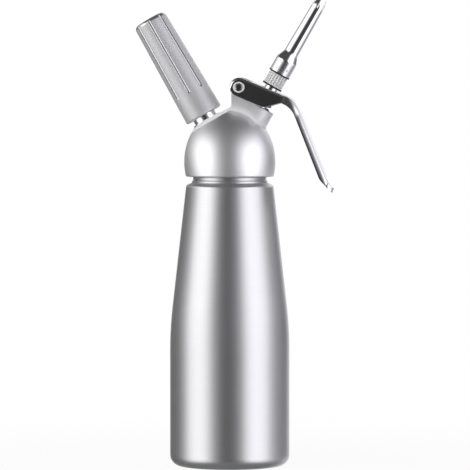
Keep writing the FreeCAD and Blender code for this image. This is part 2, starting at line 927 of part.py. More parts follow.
def crown_cutter(depth):
    """What lies above the handle's crowned surface, or above the same surface deeper in the sheet."""
    handle = math.tan(math.radians(handle_slope))
    ridge = lever_top_path()
    lead_height = lever_eye_radius + crown_lead
    lead_corner = (bend_reach - crown_lead / handle, lead_height, crown_lead_radius)
    path = offset_path([(0, lead_height), lead_corner] + ridge[2:], -depth)
    start = corner_point(path[0])
    radius = crown_arc_radius - depth
    half = lever_half + OVERRUN
    drop = radius - math.sqrt(radius**2 - half**2)
    left = start + Vector(0, -half, -drop)
    right = start + Vector(0, half, -drop)
    top_left = Vector(start.x, -half, start.z + crown_lead)
    top_right = Vector(start.x, half, start.z + crown_lead)
    section = Part.Wire(
        [
            Part.Arc(left, start, right).toShape(),
            Part.LineSegment(right, top_right).toShape(),
            Part.LineSegment(top_right, top_left).toShape(),
            Part.LineSegment(top_left, left).toShape(),
        ]
    )
    return Part.Wire(path_edges(path)).makePipeShell([section], True, False)


def make_lever():
    body = rounded_prism(lever_side_outline(), plate_edge_radius)
    body = body.common(rounded_prism(lever_round_outline(), plate_top_radius))
    body = body.common(lever_plan(0.0))
    body = body.cut(crown_cutter(0.0))
    hollow = lever_prism(lever_hollow_outline()).common(lever_plan(sheet))
    hollow = hollow.cut(crown_cutter(sheet))
    body = body.cut(hollow).cut(lever_pivot_mouth())
    slot_place = Vector(dimple_reach - stem_slot_shift, 0, 0)
    body = body.cut(Part.makeCylinder(stem_slot_radius, 2 * lever_eye_radius, slot_place))
    hole = pivot_pin_radius + running_clearance
    pin_hole = Part.makeCylinder(hole, 4 * lever_half, ACROSS * (-2 * lever_half), ACROSS)
    body = body.cut(pin_hole)
    below_web = Part.makeBox(FAR, FAR, FAR, Vector(-FAR / 2, -FAR / 2, web_bottom + sheet / 2 - FAR))
    for side in (-dimple_side, dimple_side):
        dimple = ball(dimple_radius, Vector(dimple_reach, side, dimple_centre))
        body = body.fuse(dimple.common(below_web))
    return on_lever(body.removeSplitter())


def make_pivot_pin():
    face = lever_half + running_clearance
    head = -face - pivot_head_thickness
    dish = head + pivot_dish_depth
    clip_seat = face + running_clearance
    groove = pivot_pin_radius - clip_groove_depth
    end = clip_seat + clip_thickness + pin_end_length
    pin = turned(
        [
            (0, dish),
            (pivot_dish_radius - pivot_dish_slope, dish, fine_edge_break),
            (pivot_dish_radius, head),
            (pivot_head_radius, head, edge_break),
            (pivot_head_radius, -face),
            (pivot_pin_radius, -face),
            (pivot_pin_radius, clip_seat),
            (groove, clip_seat),
            (groove, clip_seat + clip_thickness),
            (pivot_pin_radius, clip_seat + clip_thickness),
            (pivot_pin_radius, end, edge_break),
            (0, end),
        ]
    )
    return on_pivot(pin)


def make_pivot_clip():
    """The open retaining ring in the pin's groove."""
    low = lever_half + 2 * running_clearance
    groove = pivot_pin_radius - clip_groove_depth
    clip = ring(clip_radius, groove + seat_gap, low + seat_gap, low + clip_thickness - seat_gap)
    mouth = Part.makeBox(2 * clip_radius, clip_mouth, 4 * clip_thickness)
    mouth.translate(Vector(0, -clip_mouth / 2, low - clip_thickness))
    return on_pivot(clip.cut(mouth))


def on_pivot(shape):
    """The shape with its Z axis laid along the pivot."""
    placed = shape.copy()
    placed.rotate(ORIGIN, Vector(1, 0, 0), -90)
    placed.translate(valve_point(-pivot_offset, pivot_height))
    return placed


# ---- adapter and tip
def make_adapter_washer():
    inner = stem_radius + adapter_thread_clearance
    low = adapter_place - adapter_washer_thickness
    return on_valve_axis(ring(adapter_washer_radius, inner, low, adapter_place - seat_gap))


def make_nozzle_adapter():
    spigot_top = adapter_top + spigot_length
    thread_radius = stem_radius + adapter_thread_clearance
    thread_end = stem_end_place + stem_end_clearance
    body = turned(
        [
            (thread_radius, adapter_place),
            (adapter_radius, adapter_place, adapter_edge),
            (adapter_radius, adapter_top, adapter_edge),
            (spigot_radius, adapter_top),
            (spigot_radius, spigot_top, edge_break),
            (spigot_bore_radius, spigot_top),
            (spigot_bore_radius, thread_end),
            (thread_radius, thread_end),
        ]
    )
    low = adapter_place + 2 * adapter_edge
    high = adapter_top - 2 * adapter_edge
    flute = cylinder(adapter_rib_radius, low, high)
    flute.translate(Vector(adapter_radius, 0, 0))
    for cut in around(flute, adapter_rib_count, 90.0 / adapter_rib_count):
        body = body.cut(cut)
    return on_valve_axis(body)


def make_tip_gasket():
    inner = spigot_radius + tip_thread_clearance
    low = adapter_top + seat_gap
    return on_valve_axis(ring(tip_gasket_radius, inner, low, tip_place - seat_gap))


def make_decorating_tip():
    skirt_top = tip_place + tip_skirt_height
    tube_start = skirt_top + tip_shoulder_height
    nose_start = tube_start + tip_taper_length
    end = nose_start + tip_nose_length
    skin = [
        (tip_skirt_radius, tip_place),
        (tip_skirt_radius, skirt_top, tip_skirt_corner),
        (tip_tube_radius, tube_start, tip_tube_corner),
        (tip_taper_end_radius, nose_start, tip_nose_corner),
        (tip_mouth_radius + tip_wall, end),
    ]
    thread_bore = spigot_radius + tip_thread_clearance
    bore_top = skirt_top + tip_thread_runout
    outer = [(0, tip_place)] + skin + [(0, end)]
    inside = offset_path(skin, tip_wall)
    hollow = [(0, bore_top), (thread_bore, bore_top)] + inside[2:-1]
    hollow += [(tip_mouth_radius, end + OVERRUN), (0, end + OVERRUN)]
    tip = turned(outer).cut(turned(hollow))
    tip = tip.cut(cylinder(thread_bore, tip_place - OVERRUN, bore_top))
    slit = Part.makeBox(FAR, tip_slit_width, FAR)
    slit.translate(Vector(0, -tip_slit_width / 2, end - tip_slit_length))
    for cut in around(slit, tip_slit_count, 180.0 / tip_slit_count):
        tip = tip.cut(cut)
    mark_place = Vector(0, tip_mark_depth - tip_skirt_radius, tip_place + tip_mark_height)
    mark = Part.makeCylinder(tip_mark_radius, tip_skirt_radius, mark_place, -ACROSS)
    mark.rotate(ORIGIN, UP, tip_mark_angle)
    tip = tip.cut(mark)
    return on_valve_axis(tip)


PIECES = {
    "bottle": make_bottle,
    "head_gasket": make_head_gasket,
    "head_casting": make_head_casting,
    "check_valve": make_check_valve,
    "pin_carrier": make_pin_carrier,
    "piercing_pin": make_piercing_pin,
    "pin_gasket": make_pin_gasket,
    "gas_charger": make_gas_charger,
    "charger_seal": make_charger_seal,
    "charger_holder": make_charger_holder,
    "valve_stem": make_valve_stem,
    "valve_seal": make_valve_seal,
    "stem_o_rings": make_stem_o_rings,
    "valve_spring": make_valve_spring,
    "spring_collar": make_spring_collar,
    "lever": make_lever,
    "pivot_pin": make_pivot_pin,
    "pivot_clip": make_pivot_clip,
    "adapter_washer": make_adapter_washer,
    "nozzle_adapter": make_nozzle_adapter,
    "tip_gasket": make_tip_gasket,
    "decorating_tip": make_decorating_tip,
}

os.makedirs("parts", exist_ok=True)
for name, make in PIECES.items():
    shape = make()
    print(name, len(shape.Solids), "solid", round(shape.Volume, 1), "mm3", shape.isValid())
    shape.exportStep("parts/" + name + ".step")
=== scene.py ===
import json
import math

import bmesh
import bpy
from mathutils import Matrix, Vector


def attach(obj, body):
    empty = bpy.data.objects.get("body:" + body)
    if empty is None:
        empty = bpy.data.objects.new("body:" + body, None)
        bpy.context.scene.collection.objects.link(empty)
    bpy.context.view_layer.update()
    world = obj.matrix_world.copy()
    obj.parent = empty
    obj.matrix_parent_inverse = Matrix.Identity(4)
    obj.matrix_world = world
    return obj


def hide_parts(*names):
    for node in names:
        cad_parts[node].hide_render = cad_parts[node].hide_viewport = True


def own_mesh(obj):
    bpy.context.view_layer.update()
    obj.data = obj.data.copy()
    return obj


# The looks of a whipped cream dispenser, in metres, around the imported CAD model.
MM = 0.001

# ---- camera: towards the valve's side of the front, about level with the lever's pivot
camera_azimuth = 5.0
camera_distance = 2.7
camera_height = 0.258
aim_point = Vector((0.0035, 0.0, 0.1547))
view_width = 0.3147
sensor_width = 36.0

# ---- studio: how bright the surroundings are, by azimuth from the front (+ towards the valve)
back_left_stops = (
    (-180, 0.30),
    (-165, 0.24),
)
dark_gap_stops = (
    (-21, 0.10),
    (-14, 0.035),
    (-5, 0.010),
)
gap_edge_stops = (
    (6, 0.022),
    (16, 0.06),
    (22, 0.11),
)
left_stops = (
    *back_left_stops,
    (-150, 0.06),
    (-112, 0.04),
    (-92, 0.16),
    (-77, 0.68),
    (-48, 0.78),
    (-38, 0.62),
    (-29, 0.24),
    *dark_gap_stops,
)
studio_stops = (
    *left_stops,
    *gap_edge_stops,
    (30, 0.32),
    (37, 0.70),
    (45, 0.82),
    (76, 0.72),
    (90, 0.26),
    (104, 0.12),
    (120, 0.10),
    (134, 0.03),
    (146, 0.05),
    (160, 0.40),
    (180, 0.60),
)
# ---- the same higher up, where the pale wall behind the valve's side comes into it
upper_stops = (
    *back_left_stops,
    (-150, 0.14),
    (-116, 0.16),
    (-92, 0.42),
    (-77, 0.84),
    (-48, 0.90),
    (-38, 0.72),
    (-29, 0.26),
    *dark_gap_stops,
    *gap_edge_stops,
    (30, 0.34),
    (37, 0.76),
    (45, 0.88),
    (80, 0.78),
    (100, 0.32),
    (122, 0.26),
    (140, 0.50),
    (180, 0.60),
)
# ---- and lower down, where the dark gap between the boxes is wider towards the valve
lower_stops = (
    *left_stops,
    (6, 0.018),
    (18, 0.02),
    (28, 0.03),
    (32, 0.14),
    (39, 0.68),
    (47, 0.80),
    (76, 0.74),
    (91, 0.36),
    (106, 0.18),
    (126, 0.14),
    (150, 0.30),
    (180, 0.55),
)
# ---- where those two and the dark above and below come in, by a direction's rise: -1 down, 1 up
upper_start = 0.03
upper_end = 0.25
lower_start = -0.06
lower_end = -0.16
overhead_level = 0.03
overhead_start = 0.42
overhead_end = 0.68
underside_level = 0.08
underside_start = -0.30
underside_end = -0.75
# ---- how much the boxes spread towards the top, the tints of the two sides, and the strength
upward_spread = 0.25
left_tint = (1.0, 1.0, 1.0)
right_tint = (0.965, 0.96, 1.0)
studio_strength = 2.45

# ---- floor and lamp
floor_size = 6.0
floor_level = 0.95
floor_roughness = 0.7
floor_glow = 0.94
floor_glow_reach = 0.10
floor_white_reach = 0.45
lamp_place = Vector((-0.5, -0.7, 1.6))
lamp_size = 1.2
lamp_energy = 9.0

# ---- where the valve's axis and the charger's meet; heights along either one start here
axes_meet = Vector((0.0, 0.0, 0.205))

# ---- threads, whose ridges the solids leave out
threads = {
    "neck_thread": dict(radius=24.0 * MM, wire=0.75 * MM, pitch=4.0 * MM, low=195.6 * MM, high=205.2 * MM),
    "stub_thread": dict(radius=9.6 * MM, wire=0.42 * MM, pitch=1.5 * MM, low=35.2 * MM, high=42.4 * MM),
    "spigot_thread": dict(radius=5.6 * MM, wire=0.4 * MM, pitch=1.5 * MM, low=67.6 * MM, high=73.4 * MM),
    "stem_thread": dict(radius=4.5 * MM, wire=0.35 * MM, pitch=1.25 * MM, low=57.6 * MM, high=64.0 * MM),
}
thread_crest = 0.18 * MM
thread_sink = 0.02 * MM
thread_fade_turns = 0.4
coil_steps_per_turn = 48
coil_sides = 12

# ---- valve spring, as the solid one
spring_seat = 37.0 * MM
spring_top = 49.666 * MM
spring_length = spring_top - spring_seat
spring_radius = 6.3 * MM
spring_wire = 0.5 * MM
spring_closed_turns = 1.0
spring_open_turns = 3.5
spring_turns = 2 * spring_closed_turns + spring_open_turns
spring_closed_pitch = 1.06 * MM

# ---- head: its dome, the block and the bosses on it, and the stub in the charger's boss
dome_radius = 30.5 * MM
dome_rise = 36.3 * MM
dome_centre = 203.5 * MM
# the edges of the dome and of the block's foot, in sizes of the dome
dome_edge_start = 1.013
dome_edge_end = 1.004
foot_start = 1.15
foot_end = 1.03
boss_rim_start = 27.9 * MM
boss_rim_end = 28.5 * MM
valve_boss_start = 16.0 * MM
valve_boss_end = 22.0 * MM
charger_boss_fade = 5.0 * MM
stub_edge_start = 10.4 * MM
stub_edge_end = 9.9 * MM
# how metallic the dome and the block are, how much less its bosses and foot, how much shinier the stub
dome_metal = 0.99
block_metal = 0.68
valve_boss_paling = 0.22
charger_boss_paling = 0.55
foot_paling = 0.50
stub_shine = 0.34

# ---- charger holder, whose grooves and rounded end are turned bright after the blasting
holder_rim = 34.4 * MM
holder_rim_radius = 13.05 * MM
holder_taper = 0.02162
groove_start = 0.05 * MM
groove_full = 0.20 * MM

# ---- grip of the nozzle adapter, whose flutes are painted darker as shade
grip_low = 58.3 * MM
grip_high = 65.2 * MM
grip_fade = 0.2 * MM
flute_start_radius = 6.32 * MM
flute_full_radius = 6.10 * MM

# ---- tip, whose skirt is duller than its tube
skirt_low = 66.0 * MM
skirt_high = 75.5 * MM
skirt_radius = 7.6 * MM
skirt_fade = 0.6 * MM
skirt_dulling = 0.16

# ---- pivot pin, whose head has a ring round its hollow centre painted pale as a highlight, the rest of the pin painted darker as shade
pin_rim_start = 2.70 * MM
pin_rim_end = 3.55 * MM
pin_rim_fade = 0.1 * MM
pin_reach = 4.8 * MM
pin_fade = 0.2 * MM

# ---- lever's handle, pressed round from its crown into its flanges (slopes in degrees)
web_slope = 22.7
lever_eye_radius = 6.4 * MM
bend_reach = 39.5 * MM
curl_reach = 79.4 * MM
lever_reach = 84.4 * MM
handle_slope = 46.0
curl_slope = 24.0
flange_depth = 5.4 * MM
flange_end_depth = 3.75 * MM
flange_narrowing = 16.0 * MM
crown_side_depth = 1.2 * MM
crown_draw = 0.105
rounding_start = 28.0 * MM
rounding_end = 50.0 * MM
cut_step = 0.8 * MM
row_step = 0.4 * MM
cut_closeness = 0.0005 * MM
weld_closeness = 0.001 * MM
smooth_angle = 40.0

scene = bpy.context.scene
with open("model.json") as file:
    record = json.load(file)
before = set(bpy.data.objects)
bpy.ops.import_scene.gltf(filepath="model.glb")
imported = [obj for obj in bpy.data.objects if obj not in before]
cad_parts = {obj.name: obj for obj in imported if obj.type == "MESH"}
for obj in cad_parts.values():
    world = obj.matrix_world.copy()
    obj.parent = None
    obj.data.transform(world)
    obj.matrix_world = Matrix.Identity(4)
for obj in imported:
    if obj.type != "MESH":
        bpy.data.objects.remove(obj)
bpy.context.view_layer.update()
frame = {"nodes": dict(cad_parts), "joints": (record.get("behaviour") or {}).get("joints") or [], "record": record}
nodes = frame["nodes"]
joints = {joint["name"]: joint for joint in frame["joints"]}
valve_axis = Vector(joints["adapter_turn"]["axis"]).normalized()
charger_axis = Vector(joints["holder_turn"]["axis"]).normalized()
pivot_axis = Vector(joints["lever_press"]["axis"])
pivot = Vector(joints["lever_press"]["pos_m"])


# ---- node trees
class Tree:
    """A node tree, with short calls that make its nodes and join them."""

    def __init__(self, owner):
        owner.use_nodes = True
        self.tree = owner.node_tree
        self.tree.nodes.clear()

    def node(self, kind, **settings):
        made = self.tree.nodes.new(kind)
        for name, value in settings.items():
            setattr(made, name, value)
        return made

    def join(self, source, target, name):
        """Joins a socket, or writes a plain value, to the target's input."""
        socket = target.inputs[name]
        if isinstance(source, bpy.types.NodeSocket):
            self.tree.links.new(source, socket)
        else:
            socket.default_value = source

    def fed(self, kind, inputs, output=0, **settings):
        """One output of a new node, whose inputs are joined or written."""
        made = self.node(kind, **settings)
        for name, source in inputs.items():
            self.join(source, made, name)
        return made.outputs[output]

    def math(self, operation, first, second, clamp=False):
        return self.fed("ShaderNodeMath", {0: first, 1: second}, operation=operation, use_clamp=clamp)

    def all_of(self, share, *others):
        """The product of some shares, which is 1 only where each of them is."""
        for other in others:
            share = self.math("MULTIPLY", share, other)
        return share

    def plus(self, total, *terms):
        """A number with each share added to it, times the share's weight."""
        for share, weight in terms:
            total = self.math("ADD", total, self.math("MULTIPLY", share, weight))
        return total

    def between(self, factor, start, end):
        """A number that goes from the start to the end as the factor goes from 0 to 1."""
        return self.fed("ShaderNodeMapRange", {"Value": factor, "To Min": start, "To Max": end}, "Result")

    def faded(self, value, start, end):
        """0 at the start and 1 at the end, smooth between them."""
        inputs = {"Value": value, "From Min": start, "From Max": end}
        return self.fed("ShaderNodeMapRange", inputs, "Result", interpolation_type="SMOOTHSTEP")

    def within(self, value, low, high, fade):
        """1 from low to high, fading to 0 on both sides of them."""
        return self.all_of(self.faded(value, low - fade, low), self.faded(value, high + fade, high))

    def vector_math(self, operation, first, second, output="Vector"):
        return self.fed("ShaderNodeVectorMath", {0: first, 1: second}, output, operation=operation)

    def length(self, vector):
        return self.fed("ShaderNodeVectorMath", {0: vector}, "Value", operation="LENGTH")

    def parts(self, vector):
        made = self.node("ShaderNodeSeparateXYZ")
        self.join(vector, made, 0)
        return [made.outputs[axis] for axis in "XYZ"]

    def ramp(self, factor, stops, interpolation="LINEAR"):
        """A colour by a factor, from pairs of a position and a colour."""
        made = self.node("ShaderNodeValToRGB")
        made.color_ramp.interpolation = interpolation
        elements = made.color_ramp.elements
        while len(elements) < len(stops):
            elements.new(0.5)
        for element, (position, colour) in zip(elements, stops):
            element.position = position
            element.color = (*colour, 1.0)
        self.join(factor, made, "Fac")
        return made.outputs["Color"]

    def mix_colour(self, factor, first, second):
        """A mix of two colours, which the node takes at its inputs 6 and 7."""
        inputs = {"Factor": factor, 6: first, 7: second}
        return self.fed("ShaderNodeMix", inputs, 2, data_type="RGBA")

    def mix_shader(self, factor, first, second):
        return self.fed("ShaderNodeMixShader", {0: factor, 1: first, 2: second})

    def seen(self):
        """1 for what the camera sees directly, 0 for what lights the object or shows in it."""
        return self.node("ShaderNodeLightPath").outputs["Is Camera Ray"]


class Material(Tree):
    """A material with one Principled shader."""

    def __init__(self, name):
        self.material = bpy.data.materials.new(name)
        super().__init__(self.material)
        self.output = self.node("ShaderNodeOutputMaterial")
        self.shader = self.node("ShaderNodeBsdfPrincipled")
        self.join(self.shader.outputs[0], self.output, "Surface")
        self.place = self.node("ShaderNodeTexCoord").outputs["Object"]

    def set(self, **values):
        """Sets the shader's inputs, with underscores for the spaces in their names."""
        for name, value in values.items():
            self.join(value, self.shader, name.replace("_", " "))

    def bump(self, height, strength, distance):
        inputs = {"Height": height, "Strength": strength, "Distance": distance}
        self.set(Normal=self.fed("ShaderNodeBump", inputs, "Normal"))

    def noise(self, vector, scale, detail, roughness):
        inputs = {"Vector": vector, "Scale": scale, "Detail": detail, "Roughness": roughness}
        return self.fed("ShaderNodeTexNoise", inputs, "Fac")

    def grain(self, scale, detail=2.0, roughness=0.5):
        """A noise that is the same in all directions."""
        return self.noise(self.place, scale, detail, roughness)

    def lines(self, scales, detail=2.0, roughness=0.5):
        """A noise drawn out into lines, by its scale along each axis."""
        drawn_out = self.fed("ShaderNodeMapping", {"Vector": self.place, "Scale": scales}, "Vector")
        return self.noise(drawn_out, 1.0, detail, roughness)

    def blend(self, main, other, main_share=0.6):
        """Two noises as one."""
        return self.plus(self.math("MULTIPLY", main, main_share), (other, 1.0 - main_share))

    def shades(self, noise, dark, light, edge=0.3):
        """A colour that goes from dark to light over the middle of the noise's range."""
        return self.ramp(noise, ((edge, dark), (1.0 - edge, light)))

    def from_point(self, point):
        return self.vector_math("SUBTRACT", self.place, point)

    def along(self, axis):
        """How far along an axis a point lies, from where the axes meet."""
        return self.vector_math("DOT_PRODUCT", self.from_point(axes_meet), axis, "Value")

    def off(self, axis, start=axes_meet):
        """How far a point lies off an axis that runs through the start."""
        return self.length(self.vector_math("CROSS_PRODUCT", self.from_point(start), axis))


def grey(level):
    return (level, level, level, 1.0)


# ---- materials
def brushed_aluminium():
    """Turned and anodised: fine lines round the vertical axis over a satin ground."""
    look = Material("brushed_aluminium")
    lines = look.lines(scales=(60.0, 60.0, 5200.0), detail=3.0, roughness=0.6)
    broad = look.lines(scales=(12.0, 12.0, 300.0))
    tone = look.blend(lines, look.grain(scale=2600.0))
    colour = look.shades(tone, dark=(0.57, 0.57, 0.583), light=(0.65, 0.65, 0.663), edge=0.25)
    look.set(Base_Color=colour, Metallic=0.90)
    look.set(Roughness=look.between(look.blend(lines, broad), start=0.31, end=0.39))
    look.bump(tone, strength=0.12, distance=0.05 * MM)
    return look.material


def head_shares(look):
    """Shares that are 1 on a place of the head: dome, block's foot, valve boss, charger boss, stub."""
    scale = (1 / dome_radius, 1 / dome_radius, 1 / dome_rise)
    from_centre = look.vector_math("MULTIPLY", look.from_point((0.0, 0.0, dome_centre)), scale)
    far = look.length(from_centre)
    along = look.along(charger_axis)
    sideways, _, _ = look.parts(look.place)
    below_rim = look.faded(along, boss_rim_end, boss_rim_start)
    above_rim = look.faded(along, boss_rim_start, boss_rim_end)
    on_dome = look.all_of(look.faded(far, dome_edge_start, dome_edge_end), below_rim)
    at_foot = look.faded(far, foot_start, foot_end)
    on_valve_boss = look.faded(sideways, valve_boss_start, valve_boss_end)
    on_charger_boss = look.all_of(above_rim, look.faded(sideways, 0.0, -charger_boss_fade))
    near_axis = look.faded(look.off(charger_axis), stub_edge_start, stub_edge_end)
    on_stub = look.all_of(above_rim, near_axis)
    return on_dome, at_foot, on_valve_boss, on_charger_boss, on_stub


def satin_aluminium():
    """The cast head: its dome turned to a satin, its block and bosses blasted paler, its stub bright."""
    look = Material("satin_aluminium")
    on_dome, at_foot, on_valve_boss, on_charger_boss, on_stub = head_shares(look)
    coarse = look.grain(scale=2400.0, detail=3.0, roughness=0.6)
    tone = look.blend(coarse, look.grain(scale=6500.0, detail=1.0))
    colour = look.shades(tone, dark=(0.88, 0.88, 0.90), light=(0.99, 0.99, 1.0), edge=0.25)
    block = look.plus(block_metal, (on_valve_boss, -valve_boss_paling))
    block = look.plus(block, (on_charger_boss, -charger_boss_paling), (at_foot, -foot_paling))
    block = look.math("MAXIMUM", block, 0.0)
    off_dome = look.math("SUBTRACT", 1.0, on_dome)
    metal = look.plus(look.all_of(off_dome, block), (on_dome, dome_metal))
    look.set(Base_Color=colour, Metallic=look.math("MAXIMUM", metal, on_stub))
    rough = look.plus(look.between(on_dome, start=0.50, end=0.48), (on_stub, -stub_shine))
    look.set(Roughness=look.math("ADD", rough, look.between(tone, start=-0.04, end=0.04)))
    look.bump(tone, strength=0.25, distance=0.06 * MM)
    return look.material


def blasted_aluminium():
    """The charger holder: an even bead-blasted grain, its grooves and rounded end turned bright."""
    look = Material("blasted_aluminium")
    coarse = look.grain(scale=2000.0, detail=3.0, roughness=0.65)
    tone = look.blend(coarse, look.grain(scale=6000.0, detail=1.0))
    up = look.math("SUBTRACT", look.along(charger_axis), holder_rim)
    wall = look.math("SUBTRACT", holder_rim_radius, look.math("MULTIPLY", up, holder_taper))
    depth = look.math("SUBTRACT", wall, look.off(charger_axis))
    turned = look.faded(depth, groove_start, groove_full)
    colour = look.shades(tone, dark=(0.57, 0.57, 0.585), light=(0.75, 0.75, 0.765), edge=0.25)
    look.set(Base_Color=colour, Metallic=look.between(turned, start=0.40, end=0.90))
    rough = look.between(turned, start=0.46, end=0.27)
    look.set(Roughness=look.math("ADD", rough, look.between(tone, start=-0.05, end=0.05)))
    look.bump(tone, strength=0.35, distance=0.08 * MM)
    return look.material


def polished_chrome():
    """Chrome plate with the faint hair marks of polishing, duller on the tip's skirt."""
    look = Material("polished_chrome")
    hair = look.lines(scales=(300.0, 4200.0, 300.0))
    cloud = look.grain(scale=120.0)
    colour = look.shades(cloud, dark=(0.86, 0.865, 0.88), light=(0.90, 0.905, 0.92))
    look.set(Base_Color=colour, Metallic=1.0)
    beside_skirt = look.within(look.along(valve_axis), skirt_low, skirt_high, skirt_fade)
    near_axis = look.faded(look.off(valve_axis), skirt_radius + skirt_fade, skirt_radius)
    on_skirt = look.all_of(beside_skirt, near_axis)
    shine = look.between(look.all_of(hair, cloud), start=0.10, end=0.20)
    look.set(Roughness=look.plus(shine, (on_skirt, skirt_dulling)))
    look.bump(hair, strength=0.04, distance=0.02 * MM)
    return look.material


def steel():
    """Turned steel, the pivot pin's head with a satin rim painted pale as a highlight round its hollow centre, the
    rest of the pin painted darker as shade.
    """
    look = Material("steel")
    lines = look.lines(scales=(4200.0, 600.0, 4200.0))
    cloud = look.grain(scale=260.0, detail=3.0)
    off_pin = look.off(pivot_axis, pivot)
    rim = look.within(off_pin, pin_rim_start, pin_rim_end, pin_rim_fade)
    on_pin = look.faded(off_pin, pin_reach + pin_fade, pin_reach)
    plain = look.shades(cloud, dark=(0.74, 0.74, 0.75), light=(0.84, 0.84, 0.85))
    # painted shade: the pin is coloured darker than the other steel
    painted_pin_shade = look.shades(cloud, dark=(0.42, 0.42, 0.43), light=(0.52, 0.52, 0.53))
    # painted highlight: the ring round the pin's hollow centre is coloured pale, on top of its satin finish
    satin = look.shades(cloud, dark=(0.90, 0.90, 0.91), light=(0.97, 0.97, 0.98))
    colour = look.mix_colour(rim, look.mix_colour(on_pin, plain, painted_pin_shade), satin)
    look.set(Base_Color=colour, Metallic=look.between(rim, start=1.0, end=0.15))
    rough = look.between(rim, start=0.14, end=0.40)
    look.set(Roughness=look.math("ADD", rough, look.between(lines, start=0.0, end=0.14)))
    look.bump(lines, strength=0.15, distance=0.03 * MM)
    return look.material


def turned_metal(name, dark, light, roughness):
    """A bright turned or drawn metal part with fine marks all along it."""
    look = Material(name)
    lines = look.lines(scales=(4200.0, 600.0, 4200.0))
    look.set(Base_Color=look.shades(look.grain(scale=260.0, detail=3.0), dark, light), Metallic=1.0)
    look.set(Roughness=look.between(lines, start=roughness - 0.06, end=roughness + 0.08))
    look.bump(lines, strength=0.15, distance=0.03 * MM)
    return look.material


def spring_steel():
    """Drawn wire and spring sheet, a little darker than the turned steel."""
    return turned_metal("spring_steel", dark=(0.55, 0.55, 0.56), light=(0.68, 0.68, 0.69), roughness=0.24)


def charger_steel():
    """The charger's bright zinc plate."""
    return turned_metal("charger_steel", dark=(0.62, 0.62, 0.63), light=(0.74, 0.74, 0.75), roughness=0.30)


def brass():
    """The turned bush that carries the piercing pin."""
    return turned_metal("brass", dark=(0.70, 0.52, 0.24), light=(0.80, 0.62, 0.32), roughness=0.26)


def rubber(name, dark, light, roughness):
    """Moulded rubber or silicone with a fine matt skin."""
    look = Material(name)
    skin = look.grain(scale=3200.0, detail=3.0)
    look.set(Base_Color=look.shades(look.grain(scale=300.0), dark, light))
    look.set(Roughness=look.between(skin, start=roughness - 0.08, end=roughness + 0.08))
    look.bump(skin, strength=0.3, distance=0.05 * MM)
    return look.material


def black_rubber():
    """The black washers, rings and valve."""
    return rubber("black_rubber", dark=(0.014, 0.014, 0.015), light=(0.022, 0.022, 0.023), roughness=0.55)


def silicone():
    """The pale gaskets and seals."""
    return rubber("silicone", dark=(0.50, 0.50, 0.49), light=(0.58, 0.58, 0.57), roughness=0.48)


def white_plastic():
    """Moulded white plastic, with painted shade in the flutes of its grip."""
    look = Material("white_plastic")
    cloud = look.grain(scale=420.0)
    skin = look.grain(scale=3000.0)
    on_grip = look.within(look.along(valve_axis), grip_low, grip_high, grip_fade)
    in_flute = look.all_of(on_grip, look.faded(look.off(valve_axis), flute_start_radius, flute_full_radius))
    clean = look.shades(cloud, dark=(0.89, 0.89, 0.90), light=(0.94, 0.94, 0.95))
    # painted shade: the flutes of the grip are coloured grey where shade falls in them
    painted_flute_shade = look.shades(cloud, dark=(0.54, 0.54, 0.55), light=(0.64, 0.64, 0.65))
    look.set(Base_Color=look.mix_colour(in_flute, clean, painted_flute_shade))
    look.set(Roughness=look.between(skin, start=0.34, end=0.46))
    look.bump(skin, strength=0.04, distance=0.02 * MM)
    return look.material


def make_materials():
    """The material of each slot, from the function of the slot's name."""
    makers = (
        brushed_aluminium,
        satin_aluminium,
        blasted_aluminium,
        polished_chrome,
        steel,
        spring_steel,
        charger_steel,
        brass,
        black_rubber,
        silicone,
        white_plastic,
    )
    return {maker.__name__: maker() for maker in makers}


# ---- mesh pieces
def add_piece(name, mesh):
    """Puts a mesh in the scene, its faces smooth."""
    for polygon in mesh.polygons:
        polygon.use_smooth = True
    piece = bpy.data.objects.new(name, mesh)
    scene.collection.objects.link(piece)
    return piece


def mesh_piece(name, points, faces):
    mesh = bpy.data.meshes.new(name)
    mesh.from_pydata([tuple(point) for point in points], [], faces)
    mesh.validate()
    return add_piece(name, mesh)


def dress(piece, body, slot):
    """Gives a piece its material and the body that it rides on."""
    piece.data.materials.append(materials[slot])
    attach(piece, body)


def coil(name, origin, axis, turns, centre_at, wire):
    """A closed tube of round wire along a coil. centre_at gives the coil's radius and height by turn."""
    across = Vector((0.0, 1.0, 0.0))
    side = across.cross(axis).normalized()
    count = int(turns * coil_steps_per_turn) + 1
    points = []
    for step in range(count):
        turn = turns * step / (count - 1)
        angle = 2 * math.pi * turn
        radius, height = centre_at(turn)
        outward = side * math.cos(angle) + across * math.sin(angle)
        centre = origin + outward * radius + axis * height
        for corner in range(coil_sides):
            spin = 2 * math.pi * corner / coil_sides
            points.append(centre + (outward * math.cos(spin) + axis * math.sin(spin)) * wire)
    faces = []
    for step in range(count - 1):
        for corner in range(coil_sides):
            after = (corner + 1) % coil_sides
            low = step * coil_sides
            high = low + coil_sides
            faces.append((low + corner, high + corner, high + after, low + after))
    faces.append(tuple(range(coil_sides)))
    faces.append(tuple(reversed(range((count - 1) * coil_sides, count * coil_sides))))
    return mesh_piece(name, points, faces)


# ---- threads
def make_thread(name, origin, axis, body, slot):
    """A thread's rounded ridge on a shaft, running out at both ends."""
    size = threads[name]
    turns = (size["high"] - size["low"]) / size["pitch"]

    def centre_at(turn):
        rise = min(turn / thread_fade_turns, (turns - turn) / thread_fade_turns, 1.0)
        crest = thread_crest * rise - thread_sink * (1 - rise)
        return size["radius"] + crest - size["wire"], size["low"] + size["pitch"] * turn

    dress(coil(name, origin, axis, turns, centre_at, size["wire"]), body, slot)


def make_threads():
    foot = Vector((0.0, 0.0, 0.0))
    upright = Vector((0.0, 0.0, 1.0))
    make_thread("neck_thread", foot, upright, "bottle", "brushed_aluminium")
    make_thread("stub_thread", axes_meet, charger_axis, "head", "satin_aluminium")
    make_thread("spigot_thread", axes_meet, valve_axis, "adapter", "white_plastic")
    make_thread("stem_thread", axes_meet, valve_axis, "stem", "steel")


